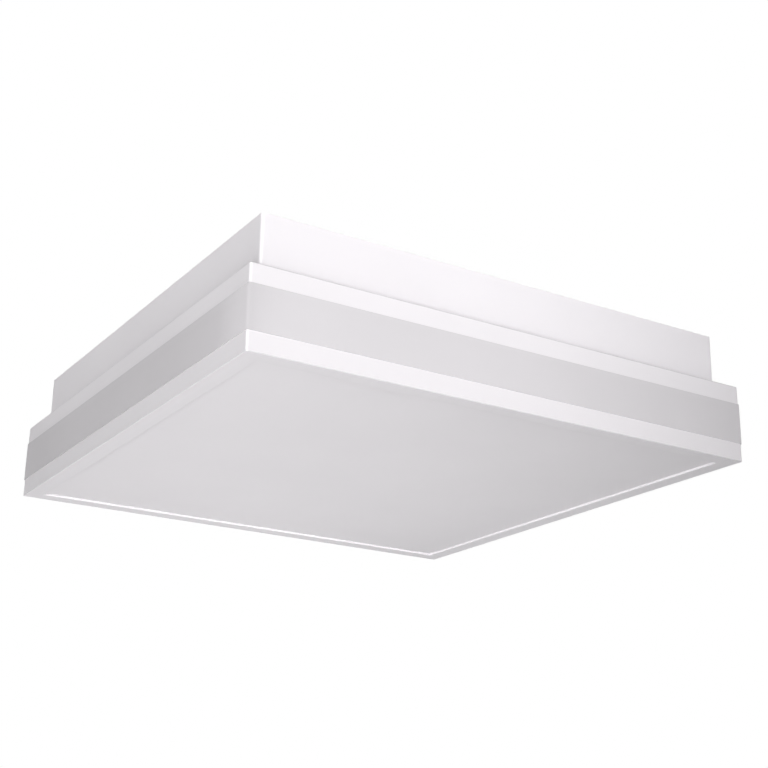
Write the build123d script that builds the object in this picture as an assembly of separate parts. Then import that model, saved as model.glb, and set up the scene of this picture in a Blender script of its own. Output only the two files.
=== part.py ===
from build123d import *
import os

# Square LED ceiling light, in millimetres, with +Z up.
# The origin is the centre of the face that meets the ceiling, so the lamp hangs below z = 0.
# A steel pan, a plate in a folded frame, is screwed to the ceiling and carries the gear.
# A shade of two white rails, an opal side band and an opal diffuser hangs under it.
# The shade is held by magnets and pulls off.

# Outside sizes
shade_width = 300.0
pan_inset = 9.0
pan_height = 30.5
upper_rail_height = 10.2
band_height = 22.6
lower_rail_height = 10.1

# Ceiling pan of sheet steel
pan_sheet = 0.8
pan_bend = 0.8
pan_rim = 10.0
pan_flange = 14.0
slot_length = 14.0
slot_width = 5.2
slot_room = 33.0

# Shade rails, side band and diffuser
rail_wall = 2.0
rail_corner = 1.2
rail_edge = 0.5
band_proud = 0.4
band_corner = 1.2
tongue_wall = 1.6
tongue_height = 5.0
lip_width = 10.0
lip_thickness = 1.1
lip_edge = 0.3
diffuser_thickness = 2.5
diffuser_play = 0.2
rib_wall = 1.6
rib_height = 3.0
rib_gap = 0.5
fit_gap = 0.2

# Corner screws of the shade
pillar_side = 5.5
frame_screw_shank = 2.4
frame_screw_head = 4.4
frame_screw_grip = 14.0

# Shade magnets
magnet_diameter = 12.0
magnet_height = 4.0
magnet_sink = 0.3
magnet_spread = 70.0
cup_wall = 1.5
cup_floor = 1.4

# Gear plate, held under the pan on standoffs
gear_gap = 5.0
gear_sheet = 0.8
gear_clearance = 4.0
standoff_width = 7.0
standoff_room = 10.0
standoff_cap = 1.0
access_hole = 16.0

# Gear screws
screw_shank = 2.9
screw_head = 5.6
screw_head_height = 2.0
screw_tip = 1.8
screw_slack = 0.1
screw_clearance = 0.5
standoff_grip = 3.5
recess_reach = 0.56
recess_width = 0.17
recess_depth = 0.55
head_round = 0.45

# LED boards
board_width = 16.0
board_thickness = 1.6
board_end_room = 14.0
board_edge_room = 4.0
board_driver_room = 22.0
leds_per_board = 8
chip_length = 3.5
chip_width = 2.8
chip_height = 0.75
lens_diameter = 10.0
lens_height = 4.2
lens_round = 3.0
lens_dip_radius = 3.2
lens_dip_depth = 0.8
lens_hollow = 5.4
lens_hollow_height = 1.6
connector_length = 10.0
connector_width = 8.0
connector_height = 4.6
connector_inset = 1.0
connector_grip = 3.0

# Leads
lead_diameter = 1.8
lead_slack = 0.3
lead_bend = 6.0
lane_room = 7.0
link_bow = 5.0
clip_length = 6.0
clip_wall = 1.5
clip_spacing = 66.0
clip_mouth = 1.1

# Cable grommet
cable_room = 20.0
cable_bore = 10.0
grommet_neck = 16.0
grommet_collar = 21.0
grommet_lip = 20.0
grommet_lip_height = 2.0
grommet_lip_round = 0.9

# Supply terminal, three push-button poles
pole_pitch = 10.0
terminal_depth = 18.0
terminal_height = 14.0
terminal_end_wall = 2.0
terminal_ear = 7.0
terminal_ear_thickness = 3.0
supply_room = 10.0
cell_length = 10.0
cell_width = 6.4
cell_roof = 2.0
cell_height = 8.0
entry_width = 3.2
entry_mouth = 4.4
clamp_sheet = 0.4
clamp_length = 4.8
clamp_width = 4.0
clamp_drop = 4.6

# Release buttons
button_length = 4.8
button_width = 5.4
button_proud = 2.4
button_flange = 0.6
button_flange_height = 1.0
button_nose = 1.6
button_nose_width = 3.0
button_nose_height = 2.4
button_gap = 0.2
button_edge = 0.5

# LED driver
driver_length = 90.0
driver_width = 38.0
driver_height = 20.0
driver_wall = 1.6
driver_edge = 1.5
driver_base_thickness = 2.0
driver_ear = 8.0
driver_lead_room = 20.0
driver_lead_pitch = 10.0
driver_post = 5.0
driver_post_height = 5.0
circuit_margin = 4.0
circuit_side_margin = 1.2
circuit_thickness = 1.6
transformer_length = 18.0
transformer_width = 16.0
transformer_height = 9.0
winding_length = 13.0
winding_height = 6.8
capacitor_diameter = 8.0
capacitor_height = 9.0
capacitor_pitch = 20.0
vent_count = 7
vent_pitch = 6.0
vent_width = 2.0
vent_length = 16.0

# Earth point
earth_shank = 3.9
earth_head = 7.0
earth_head_height = 2.6
earth_post_width = 8.0
earth_room = 20.0
lug_width = 8.0
lug_sheet = 0.8
lug_barrel = 3.6
lug_barrel_length = 6.0
lug_neck = 1.0
washer_width = 7.6
washer_height = 0.8
washer_teeth = 12
washer_notch_depth = 0.6
washer_notch_width = 0.5

# Levels, from the ceiling down
pan_inside = -pan_sheet
gear_top = pan_inside - gear_gap
gear_face = gear_top - gear_sheet
board_face = gear_face - board_thickness
lead_level = board_face - connector_height / 2
shade_top = -pan_height
band_top = shade_top - upper_rail_height
band_low = band_top - band_height
shade_low = band_low - lower_rail_height
lip_top = shade_low + lip_thickness
diffuser_top = lip_top + diffuser_thickness
plate_low = shade_top - rail_wall

# Widths that follow
pan_width = shade_width - 2 * pan_inset
pan_opening = pan_width - 2 * pan_flange
rib_width = pan_opening - 2 * rib_gap
frame_opening = rib_width - 2 * rib_wall
rail_inside = shade_width - 2 * rail_wall
tongue_width = rail_inside - 2 * fit_gap
tongue_inside = tongue_width - 2 * tongue_wall
lip_opening = shade_width - 2 * lip_width
pillar_at = tongue_inside / 2 - fit_gap - pillar_side / 2
magnet_row = (pan_width / 2 - pan_sheet + pan_opening / 2) / 2
gear_width = pan_opening - 2 * gear_clearance
lead_hole = lead_diameter + lead_slack

# Places on the gear plate
board_length = gear_width - 2 * board_end_room
inner_board_y = driver_width / 2 + board_driver_room + board_width / 2
outer_board_y = gear_width / 2 - board_edge_room - board_width / 2
slot_y = (inner_board_y + outer_board_y) / 2
standoff_x = gear_width / 2 - standoff_room
slot_x = standoff_x - slot_room
cable_x = gear_width / 2 - cable_room
led_pitch = (board_length - 2 * (connector_inset + connector_length)) / (leds_per_board + 0.5)
connector_x = board_length / 2 - connector_inset - connector_length / 2
lane_x = board_length / 2 + lane_room
terminal_right = cable_x - grommet_lip / 2 - supply_room
terminal_left = terminal_right - terminal_depth
terminal_x = (terminal_left + terminal_right) / 2
terminal_low = gear_face - terminal_height
driver_right = terminal_left - driver_lead_room
driver_left = driver_right - driver_length
driver_x = (driver_left + driver_right) / 2
driver_low = gear_face - driver_height
driver_base_low = gear_face - driver_base_thickness
circuit_top = driver_base_low - driver_post_height
circuit_low = circuit_top - circuit_thickness
circuit_width = driver_width - 2 * driver_wall - 2 * circuit_side_margin
earth_x = terminal_left - lane_room - lead_diameter
pole_y = {"live": pole_pitch, "neutral": 0.0, "earth": -pole_pitch}
earth_y = pole_y["earth"] - earth_room
lug_start = earth_y + earth_post_width / 2 + lug_neck
lug_end = lug_start + lug_barrel_length
lug_top = lead_level + lug_sheet / 2
lug_low = lead_level - lug_sheet / 2
board_y = {"a": outer_board_y, "b": inner_board_y, "c": -inner_board_y, "d": -outer_board_y}
signs = (-1, 1)


def square_bar(width, low, high, corner=0.0):
    """Square prism about the Z axis, with round upright edges where a corner radius is given."""
    outline = RectangleRounded(width, width, corner) if corner > 0 else Rectangle(width, width)
    return extrude(Pos(0, 0, low) * outline, high - low)


def soften(bar, radius, low=True, high=True):
    """Round the level outer edges of a prism, at its low end, its high end or both."""
    rings = bar.edges().group_by(Axis.Z)
    chosen = (rings[0] if low else []) + (rings[-1] if high else [])
    return fillet(chosen, radius)


def block(length, width, low, high, x=0.0, y=0.0):
    """Box between two levels, centred on x, y."""
    return Pos(x, y, (low + high) / 2) * Box(length, width, high - low)


def rod(diameter, low, high, x=0.0, y=0.0):
    """Upright cylinder between two levels."""
    return Pos(x, y, (low + high) / 2) * Cylinder(diameter / 2, high - low)


def level_rod(diameter, start, end):
    """Cylinder between two points at one level."""
    axis = Vector(*end) - Vector(*start)
    return extrude(Plane(origin=start, z_dir=axis) * Circle(diameter / 2), axis.length)


def cross_recess(head, depth, face, x, y, upwards):
    """Cross-shaped driver recess, cut into a screw head from its face."""
    low, high = (face, face + depth) if upwards else (face - depth, face)
    long_side = head * recess_reach
    short_side = head * recess_width
    return block(long_side, short_side, low, high, x, y) + block(short_side, long_side, low, high, x, y)


def pan_screw(head, head_height, shank, seat, grip, x, y):
    """Pan-head screw driven upwards: the head hangs under its seat and the shank reaches grip above it."""
    face = seat - head_height
    screw = soften(rod(head, face, seat, x, y), head_height * head_round, high=False)
    screw += rod(shank, seat, seat + grip, x, y)
    return screw - cross_recess(head, head_height * recess_depth, face, x, y, upwards=True)


def gear_screw(seat, x, y):
    """Screw into the gear plate, with its tip in the space above the plate."""
    return pan_screw(screw_head, screw_head_height, screw_shank, seat, gear_top - seat + screw_tip, x, y)


def lead(points, bend=lead_bend):
    """Insulated wire along straight runs joined by arcs."""
    path = FilletPolyline(*points, radius=bend) if len(points) > 2 else Line(*points)
    start = Plane(origin=path @ 0, z_dir=path % 0)
    return sweep(start * Circle(lead_diameter / 2), path=path)


def corners(x, y):
    """The four points at plus and minus x, y."""
    return [(sx * x, sy * y) for sx in signs for sy in signs]


slot_places = corners(slot_x, slot_y)
standoff_places = corners(standoff_x, slot_y)
pillar_places = corners(pillar_at, pillar_at)
magnet_places = corners(magnet_row, magnet_spread) + corners(magnet_spread, magnet_row)
driver_screw_places = [(driver_left - driver_ear / 2, 0), (driver_right + driver_ear / 2, 0)]
terminal_half = 1.5 * pole_pitch + terminal_end_wall
terminal_screw_places = [(terminal_x, s * (terminal_half + terminal_ear / 2)) for s in signs]
board_screw_x = [-3 * led_pitch, 0.0, 3 * led_pitch]
led_x = [(i - (leds_per_board - 1) / 2) * led_pitch for i in range(leds_per_board)]


def make_pan_plate():
    """Top of the pan: a flat plate against the ceiling, with screw slots and a cable hole."""
    plate = square_bar(pan_width, pan_inside, 0, pan_bend + pan_sheet)
    plate -= rod(grommet_neck + fit_gap, pan_inside - pan_sheet, pan_sheet, cable_x)
    for x, y in slot_places:
        slot = Pos(x, y, pan_inside - pan_sheet) * SlotOverall(slot_length, slot_width)
        plate -= extrude(slot, 3 * pan_sheet)
    return plate


def make_pan_frame():
    """Sides of the pan: a folded frame with a rim under the plate and a flange at its foot."""
    frame = square_bar(pan_width, shade_top, pan_inside, pan_bend + pan_sheet)
    frame = soften(frame, pan_sheet, high=False)
    frame -= square_bar(pan_width - 2 * pan_sheet, shade_top + pan_sheet, pan_inside - pan_sheet, pan_bend)
    frame -= square_bar(pan_width - 2 * pan_rim, pan_inside - 2 * pan_sheet, pan_inside + pan_sheet)
    frame -= square_bar(pan_opening, shade_top - pan_sheet, shade_top + 2 * pan_sheet)
    return frame


def make_gear_plate():
    """Gear plate: a flat steel plate with the holes of all that it carries."""
    plate = square_bar(gear_width, gear_face, gear_top, pan_bend + gear_sheet)

    def through(diameter, x, y):
        return rod(diameter, gear_face - gear_sheet, gear_top + gear_sheet, x, y)

    plate -= through(grommet_neck + fit_gap, cable_x, 0)
    plate -= through(earth_shank + screw_slack, earth_x, earth_y)
    for x, y in slot_places:
        plate -= through(access_hole, x, y)
    for x, y in standoff_places:
        plate -= through(screw_shank + screw_clearance, x, y)
    for x, y in driver_screw_places + terminal_screw_places:
        plate -= through(screw_shank + screw_slack, x, y)
    for y in board_y.values():
        for x in board_screw_x:
            plate -= through(screw_shank + screw_slack, x, y)
    return plate


def make_standoff(x, y):
    """Threaded post welded under the pan's top, which carries the gear plate."""
    post = rod(standoff_width, gear_top, pan_inside, x, y)
    return post - rod(screw_shank + screw_slack, gear_top - gear_gap, pan_inside - standoff_cap, x, y)


def make_gear_plate_screw(x, y):
    """Screw up through the gear plate into its standoff."""
    grip = gear_sheet + standoff_grip
    return pan_screw(screw_head, screw_head_height, screw_shank, gear_face, grip, x, y)


def make_cable_grommet():
    """Rubber bush for the supply cable, with a collar between pan and gear plate."""
    bush = rod(grommet_neck, gear_face, 0, cable_x) + rod(grommet_collar, gear_top, pan_inside, cable_x)
    lip = rod(grommet_lip, gear_face - grommet_lip_height, gear_face, cable_x)
    bush += soften(lip, grommet_lip_round, high=False)
    return bush - rod(cable_bore, gear_face - 2 * grommet_lip_height, grommet_lip_height, cable_x)


def make_board(y):
    """LED board: an aluminium-core strip with three screw holes."""
    board = block(board_length, board_width, board_face, gear_face, 0, y)
    for x in board_screw_x:
        board -= rod(screw_shank + screw_clearance, board_face - board_thickness, gear_top, x, y)
    return board


def make_chip(x, y):
    """LED package on its board."""
    return block(chip_length, chip_width, board_face - chip_height, board_face, x, y)


def make_lens(x, y):
    """Clear spreading lens over one LED: a low dome with a dip at its crown and a hollow for the LED."""
    dome = soften(rod(lens_diameter, board_face - lens_height, board_face, x, y), lens_round, high=False)
    dip_centre = board_face - lens_height + lens_dip_depth - lens_dip_radius
    dome -= Pos(x, y, dip_centre) * Sphere(lens_dip_radius)
    return dome - rod(lens_hollow, board_face - lens_hollow_height, board_face + lens_hollow_height, x, y)


def make_connector(x, y, way):
    """Poke-in wire connector on a board, with its entry facing the way that its lead leaves."""
    low = board_face - connector_height
    body = block(connector_length, connector_width, low, board_face, x, y)
    body = fillet(body.edges().group_by(Axis.Z)[0], connector_height / 8)
    entry = connector_entry(x, y, way)
    inner = tuple(p - connector_grip * w for p, w in zip(entry, (*way, 0)))
    outer = tuple(p + connector_grip * w for p, w in zip(entry, (*way, 0)))
    return body - level_rod(lead_hole, inner, outer)


def connector_entry(x, y, way):
    """Point on a connector's face where its lead goes in."""
    return (x + way[0] * connector_length / 2, y + way[1] * connector_width / 2, lead_level)


def lead_end(x, y, way):
    """End of a lead, pushed into a connector and short of the bottom of its hole."""
    entry = connector_entry(x, y, way)
    depth = connector_grip - lead_slack
    return (entry[0] - way[0] * depth, entry[1] - way[1] * depth, lead_level)


connector_ways = {
    ("a", -1): (-1, 0), ("a", 1): (0, -1), ("b", -1): (0, -1), ("b", 1): (0, 1),
    ("c", -1): (0, 1), ("c", 1): (0, -1), ("d", -1): (-1, 0), ("d", 1): (0, 1),
}
connector_places = {
    (board, side): (side * connector_x, board_y[board], way)
    for (board, side), way in connector_ways.items()
}


def make_outer_link():
    """Lead between the outer boards, along the plate's edge and through the clips."""
    top = lead_end(*connector_places["a", -1])
    low = lead_end(*connector_places["d", -1])
    return lead([top, (-lane_x, top[1], lead_level), (-lane_x, low[1], lead_level), low])


def make_side_link(outer, inner):
    """Lead between two neighbouring boards at their right ends, with a little slack bowed outwards."""
    first = lead_end(*connector_places[outer, 1])
    last = lead_end(*connector_places[inner, 1])
    run = (last[1] - first[1]) / 5
    bowed = first[0] + link_bow
    points = [first, (first[0], first[1] + run, lead_level), (bowed, first[1] + 2 * run, lead_level),
              (bowed, last[1] - 2 * run, lead_level), (last[0], last[1] - run, lead_level), last]
    return lead(points, 2 * lead_bend)


def make_output_lead(board, side):
    """Lead from the driver's output end to an inner board."""
    end = lead_end(*connector_places[board, -1])
    y = side * driver_lead_pitch / 2
    start = (driver_left + 2 * driver_wall, y, lead_level)
    return lead([start, (end[0], y, lead_level), end], 2 * lead_bend)


def make_input_lead(pole, side):
    """Lead from a terminal pole to the driver's input end."""
    y = side * driver_lead_pitch / 2
    start = (terminal_x - clamp_length / 2 - lead_slack, pole_y[pole], lead_level)
    third = driver_lead_room / 3
    points = [start, (terminal_left - third, pole_y[pole], lead_level),
              (driver_right + third, y, lead_level), (driver_right - 2 * driver_wall, y, lead_level)]
    return lead(points)


def make_earth_lead():
    """Lead from the earth pole to the lug on the gear plate."""
    y = pole_y["earth"]
    start = (terminal_x - clamp_length / 2 - lead_slack, y, lead_level)
    return lead([start, (earth_x, y, lead_level), (earth_x, lug_start + lead_slack, lead_level)])


def make_clip(y):
    """Saddle clip for the outer link, stuck to the gear plate and open on its inner side."""
    low = lead_level - lead_hole / 2 - clip_wall
    clip = block(lead_hole + 2 * clip_wall, clip_length, low, gear_face, -lane_x, y)
    ends = [(-lane_x, y + s * clip_length, lead_level) for s in signs]
    clip -= level_rod(lead_hole, *ends)
    return clip - block(lead_hole, 2 * clip_length, lead_level - clip_mouth / 2, lead_level + clip_mouth / 2,
                        -lane_x + lead_hole / 2 + clip_wall / 2, y)


def make_terminal_body():
    """Terminal block: a plastic body with one cell for each pole, and an ear at each end."""
    body = block(terminal_depth, 2 * terminal_half, terminal_low, gear_face, terminal_x)
    body = fillet(body.edges().group_by(Axis.Z)[0], terminal_end_wall / 3)
    ear_low = gear_face - terminal_ear_thickness
    ears = block(terminal_depth / 2, 2 * (terminal_half + terminal_ear), ear_low, gear_face, terminal_x)
    body += fillet(ears.edges().filter_by(Axis.Z), terminal_end_wall)
    for x, y in terminal_screw_places:
        body -= rod(screw_shank + screw_clearance, ear_low - terminal_ear_thickness, gear_top, x, y)
    cell_top = gear_face - cell_roof
    for y in pole_y.values():
        body -= block(cell_length, cell_width, cell_top - cell_height, cell_top, terminal_x, y)
        body -= block(button_length + 2 * button_gap, button_width + 2 * button_gap,
                      terminal_low - terminal_end_wall, cell_top, terminal_x, y)
        outside = (terminal_left - lead_slack, y, lead_level)
        body -= level_rod(lead_hole, outside, (terminal_x, y, lead_level))
        mouth = Plane(origin=(terminal_right, y, lead_level), x_dir=(0, 1, 0), z_dir=(1, 0, 0))
        throat = mouth.offset(-(entry_mouth - entry_width))
        narrow = throat * Rectangle(entry_width, entry_width)
        body -= extrude(narrow, -(terminal_right - terminal_x))
        body -= loft([narrow, mouth * Rectangle(entry_mouth, entry_mouth)])
    return body


def make_clamp(y):
    """Brass clamp of one pole: a bent strip under the roof of its cell, with two legs."""
    top = gear_face - cell_roof
    strip = block(clamp_length, clamp_width, top - clamp_drop, top, terminal_x, y)
    return strip - block(clamp_length - 2 * clamp_sheet, 2 * clamp_width,
                         top - 2 * clamp_drop, top - clamp_sheet, terminal_x, y)


def make_button(y):
    """Release button: a cap in its well, a flange on the cell's floor and a nose in the clamp."""
    floor = gear_face - cell_roof - cell_height
    cap = block(button_length, button_width, terminal_low - button_proud, floor, terminal_x, y)
    cap = fillet(cap.edges().group_by(Axis.Z)[0], button_edge)
    flange_top = floor + button_flange_height
    cap += block(button_length + 2 * button_gap + 2 * button_flange, cell_width - 2 * button_gap,
                 floor, flange_top, terminal_x, y)
    nose_top = flange_top + button_nose_height
    return cap + block(button_nose, button_nose_width, flange_top, nose_top, terminal_x, y)


def make_driver_base():
    """Driver base: a plastic plate with an ear at each end and four posts for the circuit board."""
    base = block(driver_length + 2 * driver_ear, driver_width, driver_base_low, gear_face, driver_x)
    base = fillet(base.edges().filter_by(Axis.Z), driver_ear / 4)
    for x, y in driver_screw_places:
        base -= rod(screw_shank + screw_clearance, driver_base_low - driver_base_thickness, gear_top, x, y)
    post_x = driver_length / 2 - driver_wall - circuit_margin - driver_post / 2
    post_y = circuit_width / 2 - driver_post / 2
    for x, y in corners(post_x, post_y):
        base += rod(driver_post, circuit_top, driver_base_low, driver_x + x, y)
    return base


def make_driver_cover():
    """Driver cover: a deep plastic lid with round edges, lead holes in its ends and a row of vents."""
    cover = block(driver_length, driver_width, driver_low, driver_base_low, driver_x)
    cover = fillet(cover.edges().filter_by(Axis.Z) + cover.edges().group_by(Axis.Z)[0], driver_edge)
    cover -= block(driver_length - 2 * driver_wall, driver_width - 2 * driver_wall,
                   driver_low + driver_wall, driver_base_low + driver_wall, driver_x)
    for s in signs:
        y = s * driver_lead_pitch / 2
        cover -= level_rod(lead_hole, (driver_left - driver_wall, y, lead_level),
                           (driver_right + driver_wall, y, lead_level))
    for i in range(vent_count):
        x = driver_x + (i - (vent_count - 1) / 2) * vent_pitch
        vent = Pos(x, 0, driver_low - driver_wall) * SlotOverall(vent_length, vent_width, rotation=90)
        cover -= extrude(vent, 3 * driver_wall)
    return cover


def make_driver_circuit():
    """Circuit board of the driver, on the posts of its base."""
    length = driver_length - 2 * driver_wall - 2 * circuit_margin
    return block(length, circuit_width, circuit_low, circuit_top, driver_x)


def make_transformer():
    """Transformer: a ferrite core round a taped winding."""
    low = circuit_low - transformer_height
    core = block(transformer_length, transformer_width / 2, low, circuit_low, driver_x)
    spare = (transformer_height - winding_height) / 2
    winding = block(winding_length, transformer_width, low + spare, circuit_low - spare, driver_x)
    return core + fillet(winding.edges().filter_by(Axis.Z), transformer_width / 6)


def make_capacitor(x):
    """Electrolytic capacitor, standing on the circuit board."""
    can = rod(capacitor_diameter, circuit_low - capacitor_height, circuit_low, x)
    return soften(can, capacitor_height / 12, high=False)


def make_earth_post():
    """Welded nut under the gear plate that lifts the earth lug to the level of its lead."""
    hexagon = Pos(earth_x, earth_y, lug_top) * RegularPolygon(earth_post_width / 2, 6)
    nut = extrude(hexagon, gear_face - lug_top)
    return nut - rod(earth_shank + screw_slack, lug_top - lug_sheet, gear_top, earth_x, earth_y)


def make_earth_lug():
    """Ring lug with a crimped barrel for the earth lead."""
    lug = rod(lug_width, lug_low, lug_top, earth_x, earth_y)
    lug += block(lug_barrel, lug_end - earth_y, lug_low, lug_top, earth_x, (earth_y + lug_end) / 2)
    lug += level_rod(lug_barrel, (earth_x, lug_start, lead_level), (earth_x, lug_end, lead_level))
    lug -= level_rod(lead_hole, (earth_x, lug_start, lead_level), (earth_x, lug_end + lug_neck, lead_level))
    hole = earth_shank + screw_clearance
    return lug - rod(hole, lug_low - lug_sheet, lug_top + lug_sheet, earth_x, earth_y)


def make_earth_washer():
    """Toothed washer under the earth screw's head."""
    washer = rod(washer_width, lug_low - washer_height, lug_low, earth_x, earth_y)
    notch = Box(2 * washer_notch_depth, washer_notch_width, 3 * washer_height)
    for i in range(washer_teeth):
        turn = Pos(earth_x, earth_y, lug_low) * Rot(0, 0, i * 360 / washer_teeth)
        washer -= turn * Pos(washer_width / 2, 0, 0) * notch
    hole = earth_shank + screw_clearance
    return washer - rod(hole, lug_low - 2 * washer_height, lug_top, earth_x, earth_y)


def make_earth_screw():
    """Earth screw, up through washer, lug and nut into the gear plate."""
    seat = lug_low - washer_height
    grip = gear_top + screw_tip - seat
    return pan_screw(earth_head, earth_head_height, earth_shank, seat, grip, earth_x, earth_y)


def make_upper_frame():
    """Upper rail: a skirt and a top plate, with a rib that centres it and a cup for each magnet."""
    frame = soften(square_bar(shade_width, band_top, shade_top, rail_corner), rail_edge, low=False)
    frame -= square_bar(rail_inside, band_top - rail_wall, plate_low)
    pocket_low = shade_top - magnet_sink - magnet_height
    for x, y in magnet_places:
        frame += rod(magnet_diameter + 2 * (fit_gap + cup_wall), pocket_low - cup_floor, plate_low, x, y)
    frame += square_bar(rib_width, shade_top, shade_top + rib_height)
    frame -= square_bar(frame_opening, pocket_low - 2 * cup_floor, shade_top + 2 * rib_height)
    for x, y in magnet_places:
        frame -= rod(magnet_diameter + 2 * fit_gap, pocket_low, shade_top, x, y)
    for x, y in pillar_places:
        frame -= rod(frame_screw_shank + screw_clearance, plate_low - rail_wall, shade_top, x, y)
        frame -= screw_cone(fit_gap, x, y)
    return frame


def screw_cone(spare, x, y):
    """Countersunk cone of a corner screw, flush with the top of the shade."""
    wide = frame_screw_head / 2 + spare
    narrow = frame_screw_shank / 2 + spare
    depth = (frame_screw_head - frame_screw_shank) / 2
    return Pos(x, y, shade_top - depth / 2) * Cone(narrow, wide, depth)


def make_frame_screw(x, y):
    """Countersunk screw, down through the upper rail into a pillar of the lower rail."""
    screw = screw_cone(0, x, y) + rod(frame_screw_shank, shade_top - frame_screw_grip, shade_top, x, y)
    return screw - cross_recess(frame_screw_head, frame_screw_shank / 3, shade_top, x, y, upwards=False)


def make_magnet(x, y):
    """Disc magnet, sunk a little under the top of the shade."""
    top = shade_top - magnet_sink
    return rod(magnet_diameter, top - magnet_height, top, x, y)


def make_side_band():
    """Opal side band: one square ring, with a tongue into each rail."""
    face = square_bar(shade_width + 2 * band_proud, band_low, band_top, band_corner)
    tongue_low = diffuser_top + diffuser_play
    face += square_bar(tongue_width, tongue_low, band_top + tongue_height)
    return face - square_bar(tongue_inside, tongue_low - tongue_height, band_top + 2 * tongue_height)


def make_lower_frame():
    """Lower rail: a skirt with a lip that carries the diffuser, and four screw pillars."""
    frame = soften(square_bar(shade_width, shade_low, band_low, rail_corner), rail_edge, high=False)
    frame -= square_bar(rail_inside, lip_top, band_low + rail_wall)
    window = square_bar(lip_opening, shade_low - lip_thickness, lip_top + lip_thickness)
    frame -= window
    frame = fillet(frame.edges().filter_by(GeomType.LINE).filter_by_position(Axis.Z, shade_low, shade_low)
                   .filter_by(lambda e: abs(e.length - lip_opening) < fit_gap), lip_edge)
    for x, y in pillar_places:
        frame += block(pillar_side, pillar_side, lip_top, plate_low, x, y)
        bore_low = shade_top - frame_screw_grip - rail_wall
        frame -= rod(frame_screw_shank + screw_slack, bore_low, shade_top, x, y)
    return frame


def make_diffuser():
    """Opal panel on the lip of the lower rail, notched for the pillars."""
    width = rail_inside - 2 * fit_gap
    panel = square_bar(width, lip_top, diffuser_top)
    notch = 2 * (width / 2 - pillar_at + pillar_side / 2 + fit_gap)
    for x, y in corners(width / 2, width / 2):
        panel -= block(notch, notch, lip_top - lip_thickness, diffuser_top + lip_thickness, x, y)
    return panel


parts = {
    "pan_plate": make_pan_plate(),
    "pan_frame": make_pan_frame(),
    "pan_standoffs": Compound([make_standoff(x, y) for x, y in standoff_places]),
    "gear_plate": make_gear_plate(),
    "gear_plate_screws": Compound([make_gear_plate_screw(x, y) for x, y in standoff_places]),
    "cable_grommet": make_cable_grommet(),
    "terminal_body": make_terminal_body(),
    "terminal_clamps": Compound([make_clamp(y) for y in pole_y.values()]),
    "terminal_screws": Compound([gear_screw(gear_face - terminal_ear_thickness, x, y)
                                 for x, y in terminal_screw_places]),
    "driver_base": make_driver_base(),
    "driver_cover": make_driver_cover(),
    "driver_circuit": make_driver_circuit(),
    "driver_transformer": make_transformer(),
    "driver_capacitors": Compound([make_capacitor(driver_x + s * capacitor_pitch) for s in signs]),
    "driver_screws": Compound([gear_screw(driver_base_low, x, y) for x, y in driver_screw_places]),
    "board_connectors": Compound([make_connector(*place) for place in connector_places.values()]),
    "board_screws": Compound([gear_screw(board_face, x, y)
                              for y in board_y.values() for x in board_screw_x]),
    "board_link_ad": make_outer_link(),
    "board_link_ab": make_side_link("a", "b"),
    "board_link_cd": make_side_link("d", "c"),
    "positive_lead": make_output_lead("b", 1),
    "negative_lead": make_output_lead("c", -1),
    "live_lead": make_input_lead("live", 1),
    "neutral_lead": make_input_lead("neutral", -1),
    "earth_lead": make_earth_lead(),
    "earth_post": make_earth_post(),
    "earth_lug": make_earth_lug(),
    "earth_washer": make_earth_washer(),
    "earth_screw": make_earth_screw(),
    "lead_clips": Compound([make_clip(i * clip_spacing) for i in (-1, 0, 1)]),
    "upper_frame": make_upper_frame(),
    "side_band": make_side_band(),
    "lower_frame": make_lower_frame(),
    "diffuser": make_diffuser(),
    "frame_screws": Compound([make_frame_screw(x, y) for x, y in pillar_places]),
    "magnets": Compound([make_magnet(x, y) for x, y in magnet_places]),
}
for board, y in board_y.items():
    parts[f"led_board_{board}"] = make_board(y)
    parts[f"led_chips_{board}"] = Compound([make_chip(x, y) for x in led_x])
    parts[f"led_lenses_{board}"] = Compound([make_lens(x, y) for x in led_x])
for pole, y in pole_y.items():
    parts[f"release_button_{pole}"] = make_button(y)

os.makedirs("parts", exist_ok=True)
for name, shape in parts.items():
    export_step(shape, f"parts/{name}.step")
print(f"{len(parts)} nodes, shade {shade_width:g} mm square, {-shade_low:g} mm tall")
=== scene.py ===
# %% [markdown]
# A square LED ceiling light, dressed for its picture.
# The real light is a white steel pan on the ceiling, with a plastic shade that hangs under it on magnets.
# The solids come ready made, in metres, with z = 0 at the ceiling, so nothing here has to be fitted.
# What is left for this lesson is the camera, the lamps, the finish of every surface and the small things
# on the LED boards that are too fine for solids.

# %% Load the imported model
import math

import bmesh
import bpy
import numpy as np
from mathutils import Euler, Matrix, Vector


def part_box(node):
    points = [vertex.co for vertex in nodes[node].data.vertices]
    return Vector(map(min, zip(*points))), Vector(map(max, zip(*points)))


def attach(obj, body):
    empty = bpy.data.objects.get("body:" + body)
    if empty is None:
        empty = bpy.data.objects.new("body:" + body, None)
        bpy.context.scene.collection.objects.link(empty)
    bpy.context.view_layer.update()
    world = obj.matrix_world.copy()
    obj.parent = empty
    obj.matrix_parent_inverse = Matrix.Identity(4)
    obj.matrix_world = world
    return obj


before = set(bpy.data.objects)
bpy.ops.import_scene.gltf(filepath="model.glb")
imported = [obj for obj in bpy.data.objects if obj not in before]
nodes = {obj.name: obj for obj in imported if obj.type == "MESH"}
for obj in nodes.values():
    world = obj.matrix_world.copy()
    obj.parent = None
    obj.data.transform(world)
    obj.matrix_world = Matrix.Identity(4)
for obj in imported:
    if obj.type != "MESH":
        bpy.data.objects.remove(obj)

scene = bpy.context.scene
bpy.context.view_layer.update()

# %% [markdown]
# The picture looks up at the light from below and from its near left corner, through a longish lens.
# A camera can be placed by eye, or worked out from corners of the object whose real places are known.
# Here the corners and edges of pan and shade gave the place, the turn and the lens together, to a pixel or
# two on average, without any shift. Turning the view by its three angles keeps the numbers readable.

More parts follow.
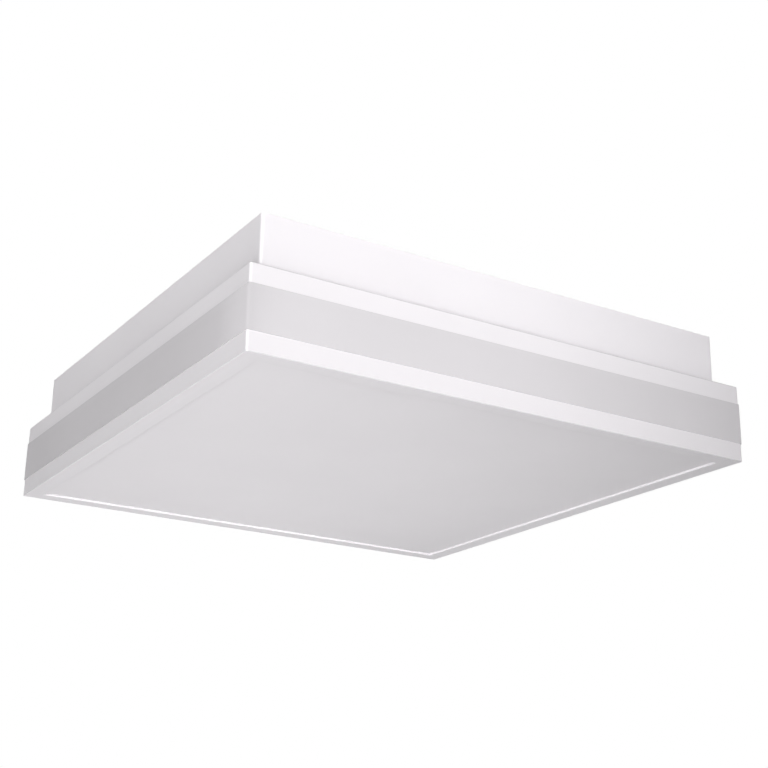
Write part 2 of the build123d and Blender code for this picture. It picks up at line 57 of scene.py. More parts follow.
# %% The camera
camera_place = Vector((-0.4039, -0.6788, -0.2948))
camera_tilt = 109.527
camera_roll = -0.9373
camera_heading = -31.9172
lens_length = 66.846
sensor_side = 36.0

camera = bpy.data.objects.new("portrait_camera", bpy.data.cameras.new("portrait_camera"))
camera.data.sensor_width = sensor_side
camera.data.lens = lens_length
camera.location = camera_place
turns = (camera_tilt, camera_roll, camera_heading)
camera.rotation_euler = Euler([math.radians(turn) for turn in turns])
scene.collection.objects.link(camera)
scene.camera = camera
scene.view_settings.view_transform = "Standard"
print("camera", round(camera_place.length, 3), "m from the middle of the ceiling face")

# %% [markdown]
# Every material below is a small tree of nodes. Adding nodes by hand takes four lines each: make it,
# set it, fill its sockets, wire it. One helper does all four, and takes a socket or a plain value alike.
# Three more are short ways to the nodes that come up again and again.

# %% Helpers for nodes
def add(tree, kind, sockets=None, **settings):
    """Add one node. Settings are its own properties.

    A socket is given a plain value, or a wire where the value is another node's socket.
    """
    made = tree.nodes.new(kind)
    for key, value in settings.items():
        setattr(made, key, value)
    for key, value in (sockets or {}).items():
        if isinstance(value, bpy.types.NodeSocket):
            tree.links.new(value, made.inputs[key])
        else:
            made.inputs[key].default_value = value
    return made


def maths(tree, operation, *values):
    """One Math node, with its values or wires in order, and its result."""
    return add(tree, "ShaderNodeMath", dict(enumerate(values)), operation=operation).outputs[0]


def colour_mix(tree, factor, first, second, way="MIX"):
    """Two colours blended by a factor from 0 to 1. In a Mix node, 6 and 7 take colours and 2 gives one."""
    sockets = {"Factor": factor, 6: first, 7: second}
    return add(tree, "ShaderNodeMix", sockets, data_type="RGBA", blend_type=way).outputs[2]


def sized_noise(tree, place, per_metre, detail=2.0):
    """Noise with so many cells in a metre of the object, from 0 to 1."""
    sockets = {"Vector": place, "Scale": per_metre, "Detail": detail}
    return add(tree, "ShaderNodeTexNoise", sockets).outputs[0]


print("node helpers ready")

# %% [markdown]
# The light hangs in a plain white studio. The room could be a box, but then its walls would colour the
# white faces. A world that is white only where it is looked at, straight or in a reflection, gives the
# background without pouring light on the object. The light itself comes from lamps with soft, wide faces.

# %% The white background
room_light = 0.06
white = (1, 1, 1, 1)


def white_where_seen(tree):
    """One where a ray comes from the camera, a reflection or clear plastic, and nought for other light."""
    path = add(tree, "ShaderNodeLightPath")
    bent = maths(tree, "MAXIMUM", path.outputs["Is Glossy Ray"], path.outputs["Is Transmission Ray"])
    return maths(tree, "MAXIMUM", path.outputs["Is Camera Ray"], bent)


world = bpy.data.worlds.new("white_studio")
world.use_nodes = True
scene.world = world
backdrop = world.node_tree.nodes["Background"]
backdrop.inputs["Color"].default_value = white
seen = white_where_seen(world.node_tree)
strength = maths(world.node_tree, "MAXIMUM", seen, room_light)
world.node_tree.links.new(strength, backdrop.inputs["Strength"])
print("world gives", room_light, "of light and shows white")

# %% [markdown]
# The floor lies well under the light, because the light hangs. It is a pale, faintly clouded sheet.
# Part of it shines where it is looked at, so that it reads as white paper, and the rest is lit by the
# lamps, so that the object's shadow still falls on it.

# %% The pale floor
floor_level = -1.3
floor_reach = 6.0
floor_glow = 0.62
paper_dark = (0.80, 0.80, 0.80, 1)
paper_light = (0.83, 0.83, 0.83, 1)
paper_clouds = 1.5
paper_roughness = 0.9

sheet_sides = np.array([-floor_reach, floor_reach])
sheet_x, sheet_y = np.meshgrid(sheet_sides, sheet_sides)
sheet = np.stack([sheet_x, sheet_y, np.full_like(sheet_x, floor_level)], -1).reshape(-1, 3)
floor_mesh = bpy.data.meshes.new("studio_floor")
floor_mesh.from_pydata(sheet.tolist(), [], [(0, 1, 3, 2)])
floor = bpy.data.objects.new("studio_floor", floor_mesh)
scene.collection.objects.link(floor)

paper = bpy.data.materials.new("pale_paper")
paper.use_nodes = True
tree = paper.node_tree
place = add(tree, "ShaderNodeTexCoord").outputs["Object"]
paper_tone = colour_mix(tree, sized_noise(tree, place, paper_clouds), paper_dark, paper_light)
lit = tree.nodes["Principled BSDF"]
lit.inputs["Roughness"].default_value = paper_roughness
tree.links.new(paper_tone, lit.inputs["Base Color"])
glow = add(tree, "ShaderNodeEmission", {"Color": white, "Strength": 1.0})
share = maths(tree, "MULTIPLY", white_where_seen(tree), floor_glow)
both = add(tree, "ShaderNodeMixShader", {0: share, 1: lit.outputs[0], 2: glow.outputs[0]})
tree.links.new(both.outputs[0], tree.nodes["Material Output"].inputs["Surface"])
floor_mesh.materials.append(paper)
print("floor", 2 * floor_reach, "m wide at", floor_level, "m")

# %% [markdown]
# White things show their form only by how the light falls off across them. The faces that the picture
# shows look forward, to the left and down, so their lamps stand a little lower than the object, or far below
# it. The key stands close by on the near left and makes the near ends of both sides bright. A second lamp in
# front, farther off, evens out the long face. Two low ones light the panel from below, and reach the thin
# inner walls of the lip on the far sides. Because the shade stands out under the pan, light from below also
# leaves a soft dark line where the two meet. The places and strengths of these four were fitted to the tones
# of the picture. The last lamp is for the sides that this picture doesn't show.

# %% Soft lamps
middle_level = -0.036
middle = Vector((0, 0, middle_level))


def soft_lamp(name, distance, elevation, azimuth, side, radiance, aim=(0, 0), beam=180):
    """Square lamp on a sphere round the object, turned to a point of it.

    Azimuth runs from +X, counter-clockwise. The power is pi times the area times the radiance.
    """
    rise, turn = math.radians(elevation), math.radians(azimuth)
    way = Vector((math.cos(rise) * math.cos(turn), math.cos(rise) * math.sin(turn), math.sin(rise)))
    light = bpy.data.lights.new(name, "AREA")
    light.shape = "SQUARE"
    light.size = side
    light.energy = math.pi * side * side * radiance
    light.spread = math.radians(beam)
    lamp = bpy.data.objects.new(name, light)
    lamp.location = middle + distance * way
    lamp.rotation_euler = (Vector((*aim, middle_level)) - lamp.location).to_track_quat("-Z", "Y").to_euler()
    lamp.visible_camera = False
    scene.collection.objects.link(lamp)


soft_lamp("key_lamp", distance=0.56, elevation=-15.9, azimuth=225.1, side=0.62, radiance=0.72,
          aim=(-0.096, -0.003), beam=50)
soft_lamp("front_lamp", distance=1.18, elevation=-4.3, azimuth=250.9, side=0.41, radiance=1.72,
          aim=(0.043, -0.173), beam=81)
soft_lamp("low_far_lamp", distance=0.58, elevation=-71.7, azimuth=121.1, side=0.30, radiance=1.89,
          aim=(0.050, 0.099), beam=127)
soft_lamp("low_near_lamp", distance=0.50, elevation=-37.2, azimuth=219.9, side=0.30, radiance=0.91,
          aim=(-0.106, -0.180), beam=127)
soft_lamp("back_lamp", distance=1.0, elevation=24, azimuth=50, side=0.8, radiance=3.6)
print("five soft lamps")

# %% [markdown]
# Sprayed steel and moulded plastic are never one flat colour. Slow clouds shift the tone and the gloss by
# a hair, and a fine skin, the orange peel of a powder coat or the grain of a mould, breaks up reflections.
# The white finishes, the opal and all the small parts use the same skin at their own scale, so it is built
# once as a node group. A group may hand out colours, values and heights, but the shader stays outside.

# %% The skin group
cloud_detail = 3.0
cloud_low, cloud_high = 0.3, 0.7


def new_group(name, inputs, outputs):
    """Empty shader node group with named inputs (name: kind) and outputs, and its two end nodes."""
    group = bpy.data.node_groups.new(name, "ShaderNodeTree")
    for label, kind in inputs.items():
        group.interface.new_socket(label, in_out="INPUT", socket_type=f"NodeSocket{kind}")
    for label, kind in outputs.items():
        group.interface.new_socket(label, in_out="OUTPUT", socket_type=f"NodeSocket{kind}")
    return group, add(group, "NodeGroupInput").outputs, add(group, "NodeGroupOutput").inputs


def fitted(tree, value, low, high):
    """A value that runs from 0 to 1, moved to run from low to high."""
    return add(tree, "ShaderNodeMapRange", {"Value": value, "To Min": low, "To Max": high}).outputs[0]


skin, given, result = new_group(
    "moulded_or_sprayed_skin",
    {"Tone": "Color", "Shade": "Color", "Clouds": "Float", "Grain": "Float",
     "Gloss": "Float", "Dull": "Float"},
    {"Color": "Color", "Roughness": "Float", "Height": "Float"},
)
place = add(skin, "ShaderNodeTexCoord").outputs["Object"]
slow = sized_noise(skin, place, given["Clouds"], cloud_detail)
fine = sized_noise(skin, place, given["Grain"])
spread = {"Value": slow, "From Min": cloud_low, "From Max": cloud_high}
cloud = add(skin, "ShaderNodeMapRange", spread).outputs[0]
skin.links.new(colour_mix(skin, cloud, given["Tone"], given["Shade"]), result["Color"])
skin.links.new(fitted(skin, cloud, given["Gloss"], given["Dull"]), result["Roughness"])
skin.links.new(fine, result["Height"])
print("skin group with", len(skin.nodes), "nodes")

# %% [markdown]
# Most finishes are that skin under one Principled shader. What is the same all over, such as metal or
# not, clear or not, is set on the shader's own sockets. Only what changes over the surface is wired.

# %% A material from the skin
def finish(name, tone, shade, gloss, dull, clouds=30.0, grain=1500.0, relief=0.00001, **plain):
    """Material: the skin group for colour, roughness and relief, and plain values on the shader's sockets."""
    material = bpy.data.materials.new(name)
    material.use_nodes = True
    tree = material.node_tree
    shader = tree.nodes["Principled BSDF"]
    sockets = {"Tone": (*tone, 1), "Shade": (*shade, 1), "Clouds": clouds, "Grain": grain,
               "Gloss": gloss, "Dull": dull}
    coat = add(tree, "ShaderNodeGroup", sockets, node_tree=skin)
    bump = add(tree, "ShaderNodeBump", {"Height": coat.outputs["Height"], "Distance": relief})
    tree.links.new(coat.outputs["Color"], shader.inputs["Base Color"])
    tree.links.new(coat.outputs["Roughness"], shader.inputs["Roughness"])
    tree.links.new(bump.outputs[0], shader.inputs["Normal"])
    for key, value in plain.items():
        shader.inputs[key.replace("_", " ")].default_value = value
    return material


def dress(material, *names):
    """Give a material to CAD nodes."""
    for name in names:
        mesh = nodes[name].data
        mesh.materials.clear()
        mesh.materials.append(material)


print("finish and dress ready")

# %% [markdown]
# The pan is folded sheet steel under a white powder coat: smooth, with a soft gloss and the faintest
# orange peel. The rails of the shade are taken to be moulded in white plastic with a finer skin. The tones
# were matched to the picture under these lamps: they lean a touch to lilac, and the rails came out a little
# darker than the pan.

# %% White steel and white plastic
paint_tone = (0.945, 0.917, 0.946)
paint_shade = (0.931, 0.903, 0.932)
rail_tone = (0.87, 0.844, 0.871)
rail_shade = (0.857, 0.831, 0.858)

powder_coat = finish("powder_coated_steel", paint_tone, paint_shade, gloss=0.42, dull=0.50,
                     clouds=18.0, grain=800.0, relief=0.00002)
rail_plastic = finish("white_rail_plastic", rail_tone, rail_shade, gloss=0.40, dull=0.48,
                      clouds=25.0, grain=2500.0, relief=0.000006, Specular_IOR_Level=0.35)
dress(powder_coat, "pan_frame", "gear_plate")
print("white on pan and gear plate")

# %% [markdown]
# The outer edges of the rails are rounded by half a millimetre. A round edge looks partly down and partly
# out, so it takes light from both sides and would stand out as a bright hairline. The picture shows no such
# line, so the edge is painted darker: painted shade that cancels the highlight. The normal finds it: on the
# faces the arrow lies flat or points straight up or down, and only on the round between them is it tipped.

# %% Painted shade on the outer edges of the rails
painted_edge_shade = 0.80
edge_reach = 0.0008
flat_limit, level_limit = 0.12, 0.98
rail_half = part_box("lower_frame")[1].x


def coordinates(tree):
    """The object's own x, y and z, as three wires."""
    place = add(tree, "ShaderNodeTexCoord").outputs["Object"]
    return add(tree, "ShaderNodeSeparateXYZ", {0: place}).outputs


def tilt(tree):
    """How far the surface is tipped: nought on upright faces and one on level ones."""
    normal = add(tree, "ShaderNodeNewGeometry").outputs["Normal"]
    return maths(tree, "ABSOLUTE", add(tree, "ShaderNodeSeparateXYZ", {0: normal}).outputs["Z"])


def node_of(tree, kind):
    """The first node of a kind in a tree."""
    return next(node for node in tree.nodes if node.type == kind)


def recolour(tree, colour):
    """Wire a colour to the shader in place of the one it had."""
    tree.links.new(colour, tree.nodes["Principled BSDF"].inputs["Base Color"])


tree = rail_plastic.node_tree
x, y, _ = coordinates(tree)
outward = maths(tree, "MAXIMUM", maths(tree, "ABSOLUTE", x), maths(tree, "ABSOLUTE", y))
tipped = tilt(tree)
rounded = maths(tree, "MULTIPLY", maths(tree, "GREATER_THAN", tipped, flat_limit),
                maths(tree, "LESS_THAN", tipped, level_limit))
rounded = maths(tree, "MULTIPLY", rounded, maths(tree, "GREATER_THAN", outward, rail_half - edge_reach))
skin_colour = node_of(tree, "GROUP").outputs["Color"]
# Painted shade: the rounded outer edges are darkened, to cancel the hairline of light that the lamps put on
# them.
recolour(tree, colour_mix(tree, 1.0, skin_colour, fitted(tree, rounded, 1.0, painted_edge_shade), "MULTIPLY"))
dress(rail_plastic, "lower_frame")
print("dull edges on the lower rail")

# %% [markdown]
# The upper rail is the same plastic. In the picture it is a little lighter than these lamps make it, so its
# tone is painted lighter: painted light that stands in for light the lamps don't give. A copy of a material
# brings its whole tree along, and only the two tones change.

# %% The upper rail, with painted light in its tone
upper_rail_painted_light_tone = (0.90, 0.873, 0.901)
upper_rail_painted_light_shade = (0.886, 0.860, 0.887)

upper_rail_painted_light_plastic = rail_plastic.copy()
upper_rail_painted_light_plastic.name = "upper_rail_plastic_painted_light"
upper_skin = node_of(upper_rail_painted_light_plastic.node_tree, "GROUP")
# Painted light: the upper rail's tones are raised above those of the lower rail, which is the same plastic.
upper_skin.inputs["Tone"].default_value = (*upper_rail_painted_light_tone, 1)
upper_skin.inputs["Shade"].default_value = (*upper_rail_painted_light_shade, 1)
dress(upper_rail_painted_light_plastic, "upper_frame")
print("lighter plastic on the upper rail")

# %% [markdown]
# The top of the pan is out of sight in the picture. On pans of this kind the top plate is often welded to
# the frame by a row of spots along its rim, which show through the paint as shallow, slightly dull dimples.
# They could be modelled, but they are a tenth of a millimetre deep, so the height of a Bump node is enough.
# Folding the plate's coordinates onto one eighth of the square, and then again along the row, turns all the
# spots into one. The distance from it gives the dimple.

# %% Spot welds on the top plate
weld_pitch = 0.044
weld_radius = 0.0028
weld_bottom = 0.7 * weld_radius
weld_depth = 0.00012
weld_inset = 0.005
weld_tone = (0.80, 0.785, 0.80, 1)
plate_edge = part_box("pan_plate")[1].x
mm_per_metre = 1000

welded = powder_coat.copy()
welded.name = "powder_coat_with_welds"
tree = welded.node_tree
x, y, _ = coordinates(tree)
across = maths(tree, "ABSOLUTE", x)
along = maths(tree, "ABSOLUTE", y)
along_row = maths(tree, "PINGPONG", maths(tree, "MINIMUM", across, along), weld_pitch / 2)
off_row = maths(tree, "SUBTRACT", maths(tree, "MAXIMUM", across, along), plate_edge - weld_inset)
squares = [maths(tree, "POWER", way, 2.0) for way in (along_row, off_row)]
reach = maths(tree, "SQRT", maths(tree, "ADD", *squares))
slope = {"Value": reach, "From Min": weld_bottom, "From Max": weld_radius}
dimple = add(tree, "ShaderNodeMapRange", slope, interpolation_type="SMOOTHSTEP").outputs[0]
peel = node_of(tree, "BUMP").outputs[0]
pressed = add(tree, "ShaderNodeBump", {"Height": dimple, "Distance": weld_depth, "Normal": peel})
tree.links.new(pressed.outputs[0], tree.nodes["Principled BSDF"].inputs["Normal"])
recolour(tree, colour_mix(tree, dimple, weld_tone, node_of(tree, "GROUP").outputs["Color"]))
dress(welded, "pan_plate")
print("welds every", weld_pitch * mm_per_metre, "mm along the rim")

# %% [markdown]
# The side band and the panel below are opal plastic: white pigment in a clear sheet. Light goes in, is
# scattered and comes out somewhere else. On the wide, flat panel that only softens its edge, and a little
# subsurface scattering is enough.

# %% Opal panel
panel_tone = (0.90, 0.872, 0.900)
panel_shade = (0.886, 0.859, 0.886)
panel_depth = 0.0015

opal_panel = finish("opal_panel", panel_tone, panel_shade, gloss=0.50, dull=0.58,
                    clouds=14.0, grain=3000.0, relief=0.000004, Specular_IOR_Level=0.25,
                    Subsurface_Weight=0.3, Subsurface_Scale=panel_depth, Subsurface_Radius=(1.0, 1.0, 1.0))
dress(opal_panel, "diffuser")
print("opal on the panel")

# %% [markdown]
# The band shows it more: light that enters one face near a corner leaves by the other, so the band has no
# edge at its lit corner, while the solid white rails beside it do. Scattering inside so thin a ring would
# leak out at the joints and draw dark lines there. The same sharing can be had by formula. Near the corner
# the arrows that say which way the two faces look are mixed, half and half at the corner itself. At the other
# corners one face lies in the dark under these lamps, and mixing would only darken the lit one, so they stay
# as they are.

# %% Opal band, with shared light at its lit corner
band_tone = (0.720, 0.698, 0.721)
band_shade = (0.706, 0.685, 0.707)
corner_spread = 0.042
half_wall = 0.002
upright_limit = 0.5

opal_band = finish("opal_band", band_tone, band_shade, gloss=0.50, dull=0.58,
                   clouds=22.0, grain=3000.0, relief=0.000004, Specular_IOR_Level=0.2)
tree = opal_band.node_tree
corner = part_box("side_band")[0]
x, y, _ = coordinates(tree)
from_left = maths(tree, "SUBTRACT", x, corner.x)
from_front = maths(tree, "SUBTRACT", y, corner.y)
past_corner = maths(tree, "SUBTRACT", from_front, from_left)
slope = {"Value": past_corner, "From Min": -corner_spread, "From Max": corner_spread}
left_share = add(tree, "ShaderNodeMapRange", slope, interpolation_type="SMOOTHSTEP").outputs[0]
front_share = maths(tree, "SUBTRACT", 1.0, left_share)
leftward, forward = (maths(tree, "MULTIPLY", part, -1.0) for part in (left_share, front_share))
arrow = add(tree, "ShaderNodeCombineXYZ", {0: leftward, 1: forward}).outputs[0]
arrow_unit = add(tree, "ShaderNodeVectorMath", {0: arrow}, operation="NORMALIZE").outputs[0]

in_reach = maths(tree, "LESS_THAN", maths(tree, "MAXIMUM", from_left, from_front), corner_spread)
outside = maths(tree, "LESS_THAN", maths(tree, "MINIMUM", from_left, from_front), half_wall)
upright = maths(tree, "LESS_THAN", tilt(tree), upright_limit)
shared = maths(tree, "MULTIPLY", maths(tree, "MULTIPLY", in_reach, outside), upright)

# In a Mix node, 4 and 5 take arrows and output 1 gives one.
own_normal = add(tree, "ShaderNodeNewGeometry").outputs["Normal"]
choice = {"Factor": shared, 4: own_normal, 5: arrow_unit}
mixed_normal = add(tree, "ShaderNodeMix", choice, data_type="VECTOR").outputs[1]
tree.links.new(mixed_normal, node_of(tree, "BUMP").inputs["Normal"])
dress(opal_band, "side_band")
print("opal on the band, light shared over", corner_spread * mm_per_metre, "mm at its lit corner")

# %% [markdown]
# A mixed arrow is shorter than one, and the tone is dimmed by a power of its length: painted shade, since the
# light of the lamps would need the full length, the light of the room, which comes from everywhere, none. The
# band also stands out a hair from the rails. The narrow ledges that it leaves at the joints would catch the
# light as bright lines, which the picture doesn't show, so they are painted darker: painted shade that
# cancels those lines.

# %% Painted shade on the band at its corner and ledges
sharing_power = 0.6
ledge_painted_shade = 0.72

arrow_length = add(tree, "ShaderNodeVectorMath", {0: arrow}, operation="LENGTH").outputs["Value"]
corner_painted_shade = maths(tree, "POWER", arrow_length, sharing_power)
ledge_shade_factor = fitted(tree, upright, ledge_painted_shade, 1.0)
band_painted_shade = maths(tree, "MULTIPLY", ledge_shade_factor, fitted(tree, shared, 1.0, corner_painted_shade))
skin_colour = node_of(tree, "GROUP").outputs["Color"]
# Painted shade: the band's tone is darkened near its lit corner and on its ledges at the joints.
recolour(tree, colour_mix(tree, 1.0, skin_colour, band_painted_shade, "MULTIPLY"))
print("ledges of the band toned to", ledge_painted_shade)

# %% [markdown]
# Screws, posts and lugs are zinc-plated steel, the magnets are nickel and the clamps are brass. Plating
# is metal with a slightly clouded gloss, which the skin gives too. Metallic is one everywhere, so it is a
# plain value, and the colour is the colour of the reflection.

# %% Plated metals
zinc = finish("zinc_plate", tone=(0.72, 0.73, 0.75), shade=(0.63, 0.64, 0.67), gloss=0.24, dull=0.40,
              clouds=400.0, grain=5000.0, relief=0.000006, Metallic=1.0)
nickel = finish("nickel_plate", tone=(0.76, 0.74, 0.70), shade=(0.70, 0.68, 0.64), gloss=0.14, dull=0.24,
                clouds=250.0, grain=6000.0, relief=0.000002, Metallic=1.0)
brass = finish("clamp_brass", tone=(0.82, 0.63, 0.30), shade=(0.70, 0.52, 0.24), gloss=0.22, dull=0.36,
               clouds=600.0, grain=5000.0, relief=0.000004, Metallic=1.0)
dress(zinc, "pan_standoffs", "gear_plate_screws", "terminal_screws", "driver_screws", "board_screws",
      "frame_screws", "earth_post", "earth_lug", "earth_washer", "earth_screw")
dress(nickel, "magnets")
dress(brass, "terminal_clamps")
print("plated metals on screws, magnets and clamps")

# %% [markdown]
# Inside the shade there is a small world of other materials. The LED boards have a white solder mask,
# ceramic LED packages, clear lenses and nylon connectors, each the same skin with its own tone, gloss and
# grain. The lenses keep a plain transmission of one. A ray that looks for a lamp can't find its way through
# plastic that bends it, so it would leave the board under each lens black. Those rays alone are let
# straight through, and the LED in the lens is lit.

# %% LED boards and lenses
board_letters = "abcd"

board_mask = finish("white_solder_mask", tone=(0.86, 0.87, 0.86), shade=(0.83, 0.84, 0.83),
                    gloss=0.22, dull=0.32, grain=1800.0)
package = finish("led_ceramic", tone=(0.87, 0.86, 0.82), shade=(0.82, 0.81, 0.76),
                 gloss=0.45, dull=0.55, clouds=900.0)
lens_clear = finish("clear_lens", tone=(0.97, 0.98, 0.98), shade=(0.95, 0.97, 0.97),
                    gloss=0.02, dull=0.06, clouds=200.0, relief=0.000001, Transmission_Weight=1.0, IOR=1.49)
connector_nylon = finish("connector_nylon", tone=(0.88, 0.87, 0.83), shade=(0.84, 0.83, 0.78),
                         gloss=0.36, dull=0.48, clouds=200.0)

tree = lens_clear.node_tree
straight = add(tree, "ShaderNodeBsdfTransparent").outputs[0]
shadow = add(tree, "ShaderNodeLightPath").outputs["Is Shadow Ray"]
bending = tree.nodes["Principled BSDF"].outputs[0]
through = add(tree, "ShaderNodeMixShader", {0: shadow, 1: bending, 2: straight})
tree.links.new(through.outputs[0], tree.nodes["Material Output"].inputs["Surface"])

for letter in board_letters:
    dress(board_mask, f"led_board_{letter}")
    dress(package, f"led_chips_{letter}")
    dress(lens_clear, f"led_lenses_{letter}")
dress(connector_nylon, "board_connectors")
print(len(board_letters), "LED boards dressed")

# %% [markdown]
# The driver is a grained white case with a green circuit board, a taped transformer and dark capacitors in
# it. The terminal is grey with orange buttons, the cable grommet is black rubber and the clips are nylon.

# %% Driver, terminal, grommet and clips
driver_case = finish("driver_case", tone=(0.86, 0.86, 0.85), shade=(0.82, 0.82, 0.81),
                     gloss=0.52, dull=0.66, grain=1600.0, relief=0.00005)
circuit = finish("circuit_green", tone=(0.03, 0.20, 0.08), shade=(0.04, 0.25, 0.10),
                 gloss=0.30, dull=0.42, clouds=300.0)
tape = finish("winding_tape", tone=(0.82, 0.62, 0.08), shade=(0.74, 0.54, 0.06),
              gloss=0.30, dull=0.44, clouds=300.0)
sleeve = finish("capacitor_sleeve", tone=(0.02, 0.03, 0.06), shade=(0.03, 0.045, 0.08),
                gloss=0.28, dull=0.4, clouds=300.0)
terminal_plastic = finish("terminal_grey", tone=(0.50, 0.51, 0.52), shade=(0.46, 0.47, 0.48),
                          gloss=0.40, dull=0.52, clouds=120.0)
button_plastic = finish("button_orange", tone=(0.86, 0.26, 0.03), shade=(0.78, 0.22, 0.025),
                        gloss=0.34, dull=0.46, clouds=300.0)
rubber = finish("grommet_rubber", tone=(0.045, 0.045, 0.048), shade=(0.065, 0.064, 0.066),
                gloss=0.62, dull=0.82, clouds=160.0, grain=1200.0, relief=0.00003)
clip_nylon = finish("clip_nylon", tone=(0.86, 0.86, 0.84), shade=(0.82, 0.82, 0.79),
                    gloss=0.38, dull=0.5, clouds=200.0)

dress(driver_case, "driver_base", "driver_cover")
dress(circuit, "driver_circuit")
dress(tape, "driver_transformer")
dress(sleeve, "driver_capacitors")
dress(terminal_plastic, "terminal_body")
dress(button_plastic, *[f"release_button_{pole}" for pole in ("live", "neutral", "earth")])
dress(rubber, "cable_grommet")
dress(clip_nylon, "lead_clips")
print("driver, terminal, grommet and clips dressed")

# %% [markdown]
# The leads wear soft vinyl in the usual colours, each with a shade that is a little darker than its tone.

# %% Leads in one colour
link_white = (0.82, 0.82, 0.80)
insulation = {
    "live_lead": (0.20, 0.085, 0.04),
    "neutral_lead": (0.035, 0.12, 0.42),
    "positive_lead": (0.55, 0.02, 0.02),
    "negative_lead": (0.025, 0.025, 0.028),
    "board_link_ad": link_white,
    "board_link_ab": link_white,
    "board_link_cd": link_white,
}
vinyl_shading = 0.85

for name, tone in insulation.items():
    shade = tuple(vinyl_shading * c for c in tone)
    dress(finish(f"{name}_vinyl", tone, shade, gloss=0.30, dull=0.42, clouds=150.0, grain=3000.0), name)
print(len(insulation), "leads in one colour")

# %% [markdown]
# The earth lead is green and yellow in two long stripes. It lies at one level all the way, so its stripes
# can be cut by height with a slow wave along its run, and the material needs no map of its own.

# %% The striped earth lead
stripe_wave = 0.00035
stripe_runs = 110.0
stripe_yellow = (0.80, 0.62, 0.03, 1)
lead_low, lead_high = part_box("earth_lead")
lead_middle = (lead_low.z + lead_high.z) / 2

striped = finish("earth_lead_vinyl", tone=(0.02, 0.26, 0.06), shade=(0.018, 0.22, 0.05),
                 gloss=0.30, dull=0.42, clouds=150.0)
tree = striped.node_tree
x, y, z = coordinates(tree)
run = maths(tree, "MULTIPLY", maths(tree, "SUBTRACT", x, y), stripe_runs)
edge = maths(tree, "MULTIPLY_ADD", maths(tree, "SINE", run), stripe_wave, lead_middle)
yellow = maths(tree, "LESS_THAN", z, edge)
recolour(tree, colour_mix(tree, yellow, node_of(tree, "GROUP").outputs["Color"], stripe_yellow))
dress(striped, "earth_lead")
print("stripes cut at", round(lead_middle * mm_per_metre, 2), "mm")

# %% [markdown]
# An LED board has more on it than lenses: copper tracks under the mask, a yellow phosphor window in each
# LED, beads of solder and a few chip resistors. All of them are small rounded boxes. One formula, the
# superellipsoid, gives every one of them: two angles run over a ball, and a power below one pushes the
# ball's sides out until it is nearly a box. A grid of the two angles is one array, and the copies of a
# shape are that array moved by a list of places.

# %% Rounded boxes from one formula
seam_gap = 1e-7


def pillow(half, power, rings=9, sides=24):
    """Superellipsoid: on each axis, the half size times the cosines or sines of two angles, to a power."""
    low_high = np.linspace(-np.pi / 2, np.pi / 2, rings)[:, None]
    round_about = np.linspace(0, 2 * np.pi, sides, endpoint=False)[None, :]

    def bulge(wave):
        """The wave's size to the power, with its sign kept."""
        return np.sign(wave) * np.abs(wave) ** power

    level = bulge(np.cos(low_high))
    x = half[0] * level * bulge(np.cos(round_about))
    y = half[1] * level * bulge(np.sin(round_about))
    z = half[2] * bulge(np.sin(low_high)) * np.ones_like(round_about)
    return np.stack([x, y, z], -1)


def ring_faces(rings, sides):
    """Quads of a grid that closes on itself round its second way."""
    ring, side = np.meshgrid(np.arange(rings - 1), np.arange(sides), indexing="ij")
    after = (side + 1) % sides
    quads = [ring * sides + side, ring * sides + after, (ring + 1) * sides + after, (ring + 1) * sides + side]
    return np.stack(quads, -1).reshape(-1, 4)


def scatter(name, shape, places, material, body="ceiling_base"):
    """New piece: copies of one grid shape at a list of places, closed at their poles, riding on a body."""
    rings, sides, _ = shape.shape
    points = (np.asarray(places)[:, None, None, :] + shape[None]).reshape(-1, 3)
    starts = np.arange(len(places))[:, None, None] * rings * sides
    quads = (starts + ring_faces(rings, sides)[None]).reshape(-1, 4)
    mesh = bpy.data.meshes.new(name)
    mesh.from_pydata(points.tolist(), [], quads.tolist())
    shell = bmesh.new()
    shell.from_mesh(mesh)
    bmesh.ops.remove_doubles(shell, verts=shell.verts, dist=seam_gap)
    bmesh.ops.recalc_face_normals(shell, faces=shell.faces)
    shell.to_mesh(mesh)
    shell.free()
    mesh.shade_smooth()
    mesh.materials.append(material)
    piece = bpy.data.objects.new(name, mesh)
    scene.collection.objects.link(piece)
    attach(piece, body)
    print(name, len(places), "copies,", len(mesh.polygons), "faces")


print("pillow and scatter ready")

# %% [markdown]
# The places come from the boards and chips themselves: the box round a row of chips says where each window
# and its two beads of solder go. The phosphor window is a flat yellow lens of silicone with fine grains in
# it, and solder is soft bright tin.

# %% Phosphor windows and solder beads
leds_per_board = 8
half_chip = 0.00175
window_half = (0.00105, 0.00105, 0.00012)
window_power = 0.9
bead_half = (0.0004, 0.0012, 0.00022)
bead_power = 0.6
phosphor = finish("yellow_phosphor", tone=(0.86, 0.62, 0.07), shade=(0.78, 0.50, 0.04),
                  gloss=0.30, dull=0.45, clouds=2500.0, grain=9000.0, relief=0.00002)
tin = finish("solder_tin", tone=(0.78, 0.78, 0.78), shade=(0.66, 0.66, 0.67),
             gloss=0.18, dull=0.34, clouds=1500.0, grain=6000.0, relief=0.00001, Metallic=1.0)

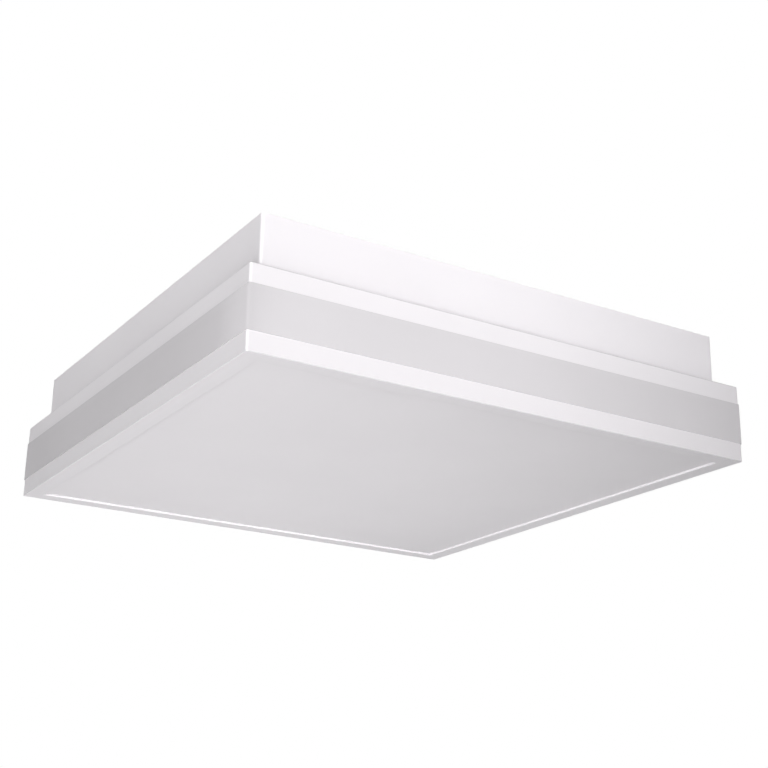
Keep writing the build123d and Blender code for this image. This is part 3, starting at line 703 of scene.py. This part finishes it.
led_places = {}
for letter in board_letters:
    low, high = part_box(f"led_chips_{letter}")
    along_board = np.linspace(low.x + half_chip, high.x - half_chip, leds_per_board)
    row = np.full_like(along_board, (low.y + high.y) / 2)
    windows = np.stack([along_board, row, np.full_like(along_board, low.z)], -1)
    scatter(f"phosphor_windows_{letter}", pillow(window_half, window_power), windows, phosphor)
    board_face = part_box(f"led_board_{letter}")[0].z
    beads = np.concatenate([windows + (end * half_chip, 0, board_face - low.z) for end in (-1, 1)])
    scatter(f"solder_beads_{letter}", pillow(bead_half, bead_power), beads, tin)
    led_places[letter] = windows

# %% [markdown]
# Two copper tracks run along each board beside the lenses, under the white mask, with four chip resistors
# between the LEDs. A track is a rounded box a fifth of a metre long that stands a twentieth of a millimetre
# out of the board, which is enough to catch the light.

# %% Tracks and chip resistors
track_offset = 0.0063
track_half = (0.0960, 0.0006, 0.00005)
track_sides = 32
box_power = 0.25
resistor_half = (0.0010, 0.00062, 0.00028)
resistor_offset = 0.003
resistor_steps = (-2, -1, 1, 2)
cap_half = (0.00026, 0.00066, 0.00030)
resistor_black = finish("resistor_glaze", tone=(0.02, 0.02, 0.022), shade=(0.03, 0.03, 0.032),
                        gloss=0.22, dull=0.34, clouds=900.0)

track = pillow(track_half, box_power, sides=track_sides)
resistor_places = []
for letter in board_letters:
    low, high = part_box(f"led_board_{letter}")
    board_middle = np.array([0.0, (low.y + high.y) / 2, low.z])
    rows = np.array([board_middle + (0, side * track_offset, 0) for side in (-1, 1)])
    scatter(f"board_tracks_{letter}", track, rows, board_mask)
    pitch = led_places[letter][1, 0] - led_places[letter][0, 0]
    for step in resistor_steps:
        resistor_places.append(board_middle + (step * pitch, resistor_offset, -resistor_half[2]))
resistor_places = np.array(resistor_places)
resistor = pillow(resistor_half, box_power)
scatter("chip_resistors", resistor, resistor_places, resistor_black)
caps = np.concatenate([resistor_places + (end * resistor_half[0], 0, 0) for end in (-1, 1)])
scatter("resistor_caps", pillow(cap_half, box_power), caps, tin)
